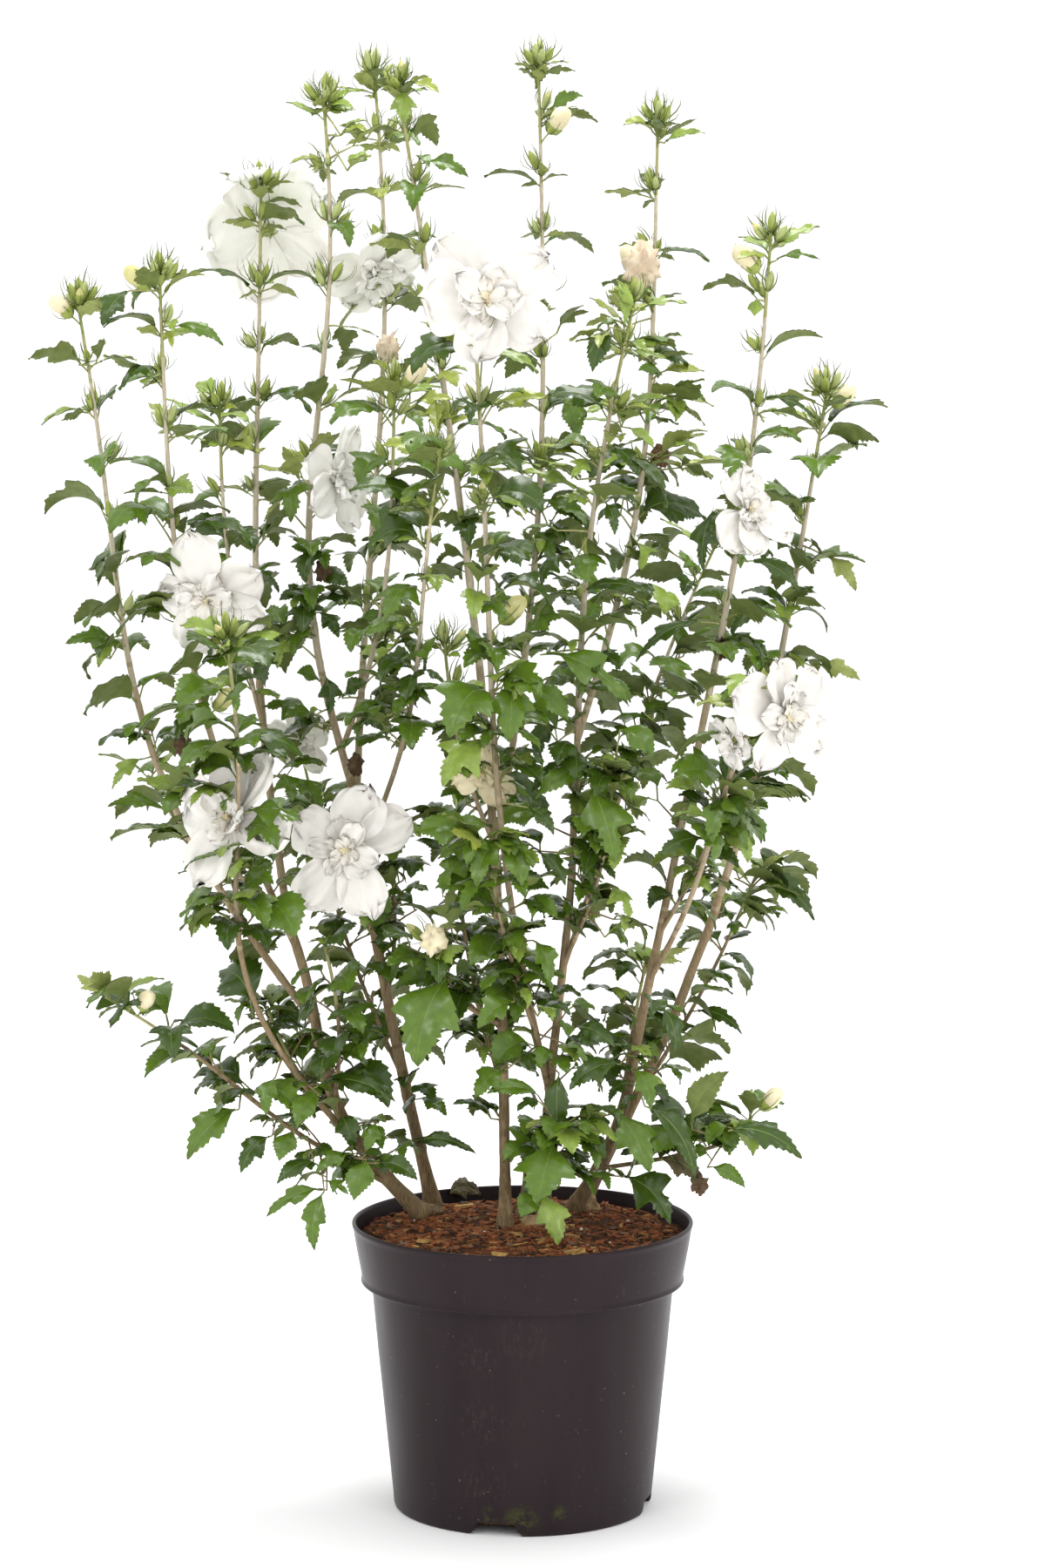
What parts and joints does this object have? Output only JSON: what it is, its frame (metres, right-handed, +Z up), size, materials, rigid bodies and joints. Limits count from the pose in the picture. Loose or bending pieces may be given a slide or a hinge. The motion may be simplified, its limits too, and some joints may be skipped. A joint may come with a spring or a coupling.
{
  "type": "rose of sharon shrub in a nursery pot",
  "caption": "Upright multi-stemmed flowering shrub with tall leafy whips, buds and double white blooms, growing in a plain round nursery pot.",
  "frame": {"origin": "middle of the pot's flat underside, on the surface it stands on", "axes": "+Z up; -Y is the front, the side the blooms face most; +X to the right seen from the front"},
  "size_m": [0.8856, 0.6633, 1.459],
  "materials": {
    "pot": "satin",
    "soil": "rough",
    "stem_bark": "rough",
    "young_bark": "matte",
    "leaves": "satin"
  },
  "bodies": {
    "root": {"pot": "pot", "soil": "soil", "left_stem": "stem_bark", "back_left_stem": "stem_bark", "centre_stem": "stem_bark", "short_stem": "stem_bark", "middle_stem": "stem_bark", "right_stem": "stem_bark", "back_right_stem": "stem_bark", "inner_left_bough": "young_bark", "left_bough": "young_bark", "far_left_bough": "young_bark", "front_left_bough": "young_bark", "low_left_bough": "young_bark", "tall_left_bough": "young_bark", "back_left_bough": "young_bark", "slim_left_bough": "young_bark", "slim_centre_bough": "young_bark", "inner_right_bough": "young_bark", "front_bough": "young_bark", "back_bough": "young_bark", "rear_right_bough": "young_bark", "tall_right_bough": "young_bark", "right_bough": "young_bark", "front_right_bough": "young_bark", "centre_leaves": "leaves", "back_right_leaves": "leaves", "inner_left_leaves": "leaves", "left_leaves": "leaves", "far_left_leaves": "leaves", "front_left_leaves": "leaves", "low_left_leaves": "leaves", "tall_left_leaves": "leaves", "back_left_leaves": "leaves", "slim_left_leaves": "leaves", "slim_centre_leaves": "leaves", "inner_right_leaves": "leaves", "front_leaves": "leaves", "back_leaves": "leaves", "rear_right_leaves": "leaves", "tall_right_leaves": "leaves", "right_leaves": "leaves", "front_right_leaves": "leaves", "low_left_tuft": "leaves", "left_front_tuft": "leaves", "far_left_tuft": "leaves", "left_tuft": "leaves", "left_shoot": "leaves", "back_left_low_tuft": "leaves", "back_left_high_tuft": "leaves", "centre_twig": "leaves", "centre_low_tuft": "leaves", "centre_high_tuft": "leaves", "front_tuft": "leaves", "inner_right_tuft": "leaves", "low_front_tuft": "leaves", "low_right_twig": "leaves", "right_tuft": "leaves", "right_high_tuft": "leaves", "back_right_tuft": "leaves"}
  },
  "joints": []
}
